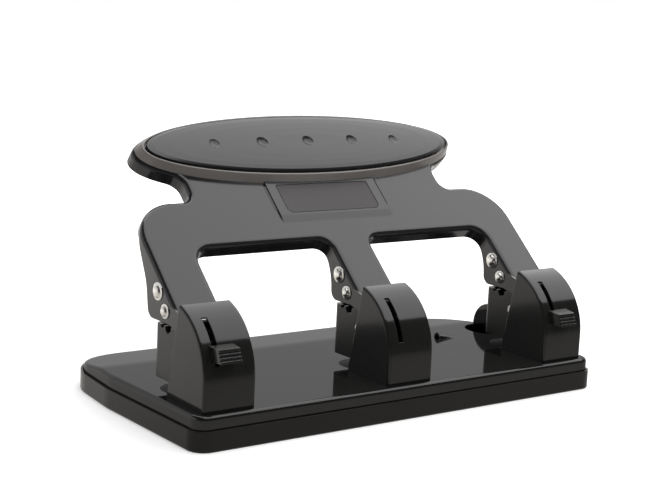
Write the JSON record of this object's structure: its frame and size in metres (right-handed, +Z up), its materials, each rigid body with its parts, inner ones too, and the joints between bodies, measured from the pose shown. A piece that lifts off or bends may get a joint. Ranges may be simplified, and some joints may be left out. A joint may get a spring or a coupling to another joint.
{
  "type": "heavy duty hole punch",
  "caption": "Desk hole punch with a wide pressed steel lever over a row of punching heads, an oval hand grip and a chip tray below.",
  "frame": {"origin": "on the underside of the tray, below the middle punch", "axes": "+X to the right along the row of punches, +Y away from the covers' curved fronts towards the paper side, +Z up"},
  "size_m": [0.2606, 0.1456, 0.1422],
  "materials": {
    "plate_paint": "glossy black stoved enamel",
    "tray_plastic": "satin moulded",
    "cover_paint": "semi-gloss black powder coat",
    "frame_paint": "semi-gloss black powder coat",
    "lever_paint": "semi-gloss black powder coat",
    "slider_plastic": "fine satin moulded",
    "bright_steel": "bright zinc plated",
    "bright_rivet": "bright nickel plated",
    "bronze": "sintered bronze",
    "grip_plastic": "satin moulded",
    "grip_pad": "smooth semi-gloss",
    "label": "flat, bare"
  },
  "bodies": {
    "base": {"base_plate": "plate_paint", "die_left": "bright_steel", "die_middle": "bright_steel", "die_right": "bright_steel", "frame_screws": "bright_steel", "frame_tie_pins": "bright_steel", "head_cover_left": "cover_paint", "head_cover_middle": "cover_paint", "head_cover_right": "cover_paint", "pivot_pin_left": "bright_steel", "pivot_pin_middle": "bright_steel", "pivot_pin_right": "bright_steel", "punch_frame_left": "frame_paint", "punch_frame_middle": "frame_paint", "punch_frame_right": "frame_paint", "punch_guide_left": "bright_steel", "punch_guide_middle": "bright_steel", "punch_guide_right": "bright_steel", "return_spring_left": "bright_steel", "return_spring_middle": "bright_steel", "return_spring_right": "bright_steel"},
    "waste_tray": {"waste_tray": "tray_plastic"},
    "lever": {"lever_frame": "lever_paint", "upper_rivets": "bright_rivet", "drive_rivets": "bright_rivet", "grip_ring": "grip_plastic", "grip_pad": "grip_pad", "grip_screws": "bright_steel", "label_plate": "label", "drive_bush_left": "bronze", "drive_bush_middle": "bronze", "drive_bush_right": "bronze"},
    "punch_left": {"punch_pin_left": "bright_steel"},
    "punch_middle": {"punch_pin_middle": "bright_steel"},
    "punch_right": {"punch_pin_right": "bright_steel"},
    "slider_left": {"cover_slider_left": "slider_plastic", "slider_retainer_left": "bright_steel"},
    "slider_right": {"cover_slider_right": "slider_plastic", "slider_retainer_right": "bright_steel"}
  },
  "joints": [
    {"name": "lever_press", "type": "hinge", "parent": "base", "child": "lever", "pos_m": [0, -0.0165, 0.0527], "axis": [-1, 0, 0], "range_deg": [0, 32], "stiffness_Nm_per_rad": 1, "springref_deg": -34.38},
    {"name": "punch_stroke_left", "type": "slide", "parent": "base", "child": "punch_left", "axis": [0, 0, -1], "range_m": [0, 0.0087], "deforming": ["return_spring_left"]},
    {"name": "punch_stroke_middle", "type": "slide", "parent": "base", "child": "punch_middle", "axis": [0, 0, -1], "range_m": [0, 0.0087], "deforming": ["return_spring_middle"]},
    {"name": "punch_stroke_right", "type": "slide", "parent": "base", "child": "punch_right", "axis": [0, 0, -1], "range_m": [0, 0.0087], "deforming": ["return_spring_right"]},
    {"name": "slider_slide_left", "type": "hinge", "parent": "base", "child": "slider_left", "pos_m": [-0.108, -0.0068, 0.0302], "axis": [-1, 0, 0], "range_deg": [-8.7, 28.5]},
    {"name": "slider_slide_right", "type": "hinge", "parent": "base", "child": "slider_right", "pos_m": [0.108, -0.0068, 0.0302], "axis": [-1, 0, 0], "range_deg": [-3.7, 33.5]},
    {"name": "tray_pull", "type": "slide", "parent": "base", "child": "waste_tray", "axis": [0, 0, -1], "range_m": [0, 0.03]}
  ],
  "couplings": [
    {"joint": "punch_stroke_left", "follows": "lever_press", "m_per_rad": 0.015398},
    {"joint": "punch_stroke_middle", "follows": "lever_press", "m_per_rad": 0.015398},
    {"joint": "punch_stroke_right", "follows": "lever_press", "m_per_rad": 0.015398}
  ]
}
